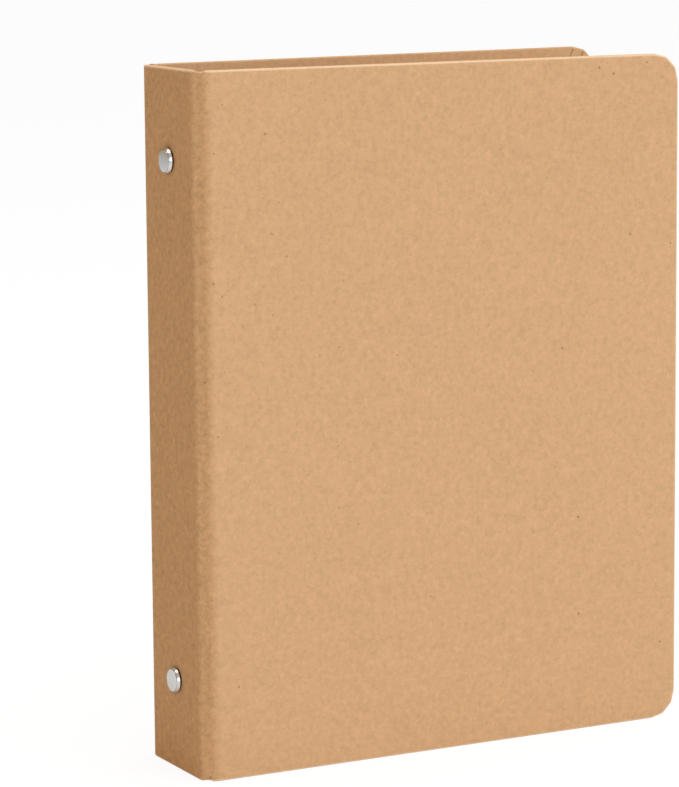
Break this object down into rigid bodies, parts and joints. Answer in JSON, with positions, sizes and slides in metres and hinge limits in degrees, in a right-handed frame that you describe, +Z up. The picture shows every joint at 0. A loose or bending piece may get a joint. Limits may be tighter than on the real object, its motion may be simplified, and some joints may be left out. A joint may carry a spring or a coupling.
{
  "type": "scrapbook album ring binder",
  "caption": "Kraft-paper-covered ring binder album standing upright, with creased spine hinges, rounded cover corners and a riveted round-ring mechanism.",
  "frame": {"origin": "bottom centre of the bounding box, on the surface the album stands on", "axes": "+X from the spine to the fore edge, -Y out of the front cover, +Y out of the back cover, +Z up along the spine"},
  "size_m": [0.1842, 0.056, 0.235],
  "materials": {
    "kraft_cover": "matt, slightly fibrous",
    "kraft_hinge": "matt, slightly fibrous",
    "kraft_spine": "matt, slightly fibrous",
    "kraft_liner": "matt, slightly fibrous",
    "greyboard": "matt",
    "nickel_plate": "bright nickel",
    "nickel_ring": "bright nickel",
    "steel_blade": "satin",
    "nickel_lever": "bright nickel",
    "nickel_cap": "satin nickel",
    "nickel_small": "bright nickel"
  },
  "bodies": {
    "spine": {"spine_board": "greyboard", "spine_wrap": "kraft_spine", "spine_liner": "kraft_liner", "mechanism_plate": "nickel_plate", "lower_rivet_cap": "nickel_cap", "lower_rivet_post": "nickel_small", "lower_rivet_spacer": "nickel_small", "upper_rivet_cap": "nickel_cap", "upper_rivet_post": "nickel_small", "upper_rivet_spacer": "nickel_small", "lower_lever_pin": "nickel_small", "upper_lever_pin": "nickel_small"},
    "front_hinge_strip": {"front_hinge_wrap": "kraft_hinge", "front_hinge_liner": "kraft_liner"},
    "front_cover": {"front_board": "greyboard", "front_cover_wrap": "kraft_cover", "front_liner": "kraft_liner"},
    "back_hinge_strip": {"back_hinge_wrap": "kraft_hinge", "back_hinge_liner": "kraft_liner"},
    "back_cover": {"back_board": "greyboard", "back_cover_wrap": "kraft_cover", "back_liner": "kraft_liner"},
    "front_ring_set": {"front_blade": "steel_blade", "front_half_ring_lower": "nickel_ring", "front_half_ring_middle": "nickel_ring", "front_half_ring_upper": "nickel_ring"},
    "back_ring_set": {"back_blade": "steel_blade", "back_half_ring_lower": "nickel_ring", "back_half_ring_middle": "nickel_ring", "back_half_ring_upper": "nickel_ring"},
    "lower_lever": {"lower_lever": "nickel_lever"},
    "upper_lever": {"upper_lever": "nickel_lever"}
  },
  "joints": [
    {"name": "front_strip_fold", "type": "hinge", "parent": "spine", "child": "front_hinge_strip", "pos_m": [-0.08998, -0.0177, 0], "axis": [0, 0, -1], "range_deg": [-1, 89]},
    {"name": "front_cover_fold", "type": "hinge", "parent": "front_hinge_strip", "child": "front_cover", "pos_m": [-0.08619, -0.0215, 0], "axis": [0, 0, -1], "range_deg": [-1, 89]},
    {"name": "back_strip_fold", "type": "hinge", "parent": "spine", "child": "back_hinge_strip", "pos_m": [-0.08998, 0.0177, 0], "axis": [0, 0, 1], "range_deg": [-1, 89]},
    {"name": "back_cover_fold", "type": "hinge", "parent": "back_hinge_strip", "child": "back_cover", "pos_m": [-0.08619, 0.0215, 0], "axis": [0, 0, 1], "range_deg": [-1, 89]},
    {"name": "back_ring_open", "type": "hinge", "parent": "spine", "child": "back_ring_set", "pos_m": [-0.08508, 0.0096, 0], "axis": [0, 0, 1], "range_deg": [0, 13]},
    {"name": "front_ring_open", "type": "hinge", "parent": "spine", "child": "front_ring_set", "pos_m": [-0.08508, -0.0096, 0], "axis": [0, 0, -1], "range_deg": [0, 13]},
    {"name": "lower_lever_press", "type": "hinge", "parent": "spine", "child": "lower_lever", "pos_m": [-0.08528, 0, 0.0205], "axis": [0, 1, 0], "range_deg": [0, 30]},
    {"name": "upper_lever_press", "type": "hinge", "parent": "spine", "child": "upper_lever", "pos_m": [-0.08528, 0, 0.2145], "axis": [0, -1, 0], "range_deg": [0, 30]}
  ],
  "couplings": [
    {"joint": "front_strip_fold", "follows": "front_cover_fold", "ratio": 1},
    {"joint": "back_strip_fold", "follows": "back_cover_fold", "ratio": 1},
    {"joint": "front_ring_open", "follows": "back_ring_open", "ratio": 1},
    {"joint": "lower_lever_press", "follows": "back_ring_open", "ratio": 2.28},
    {"joint": "upper_lever_press", "follows": "back_ring_open", "ratio": 2.28}
  ]
}
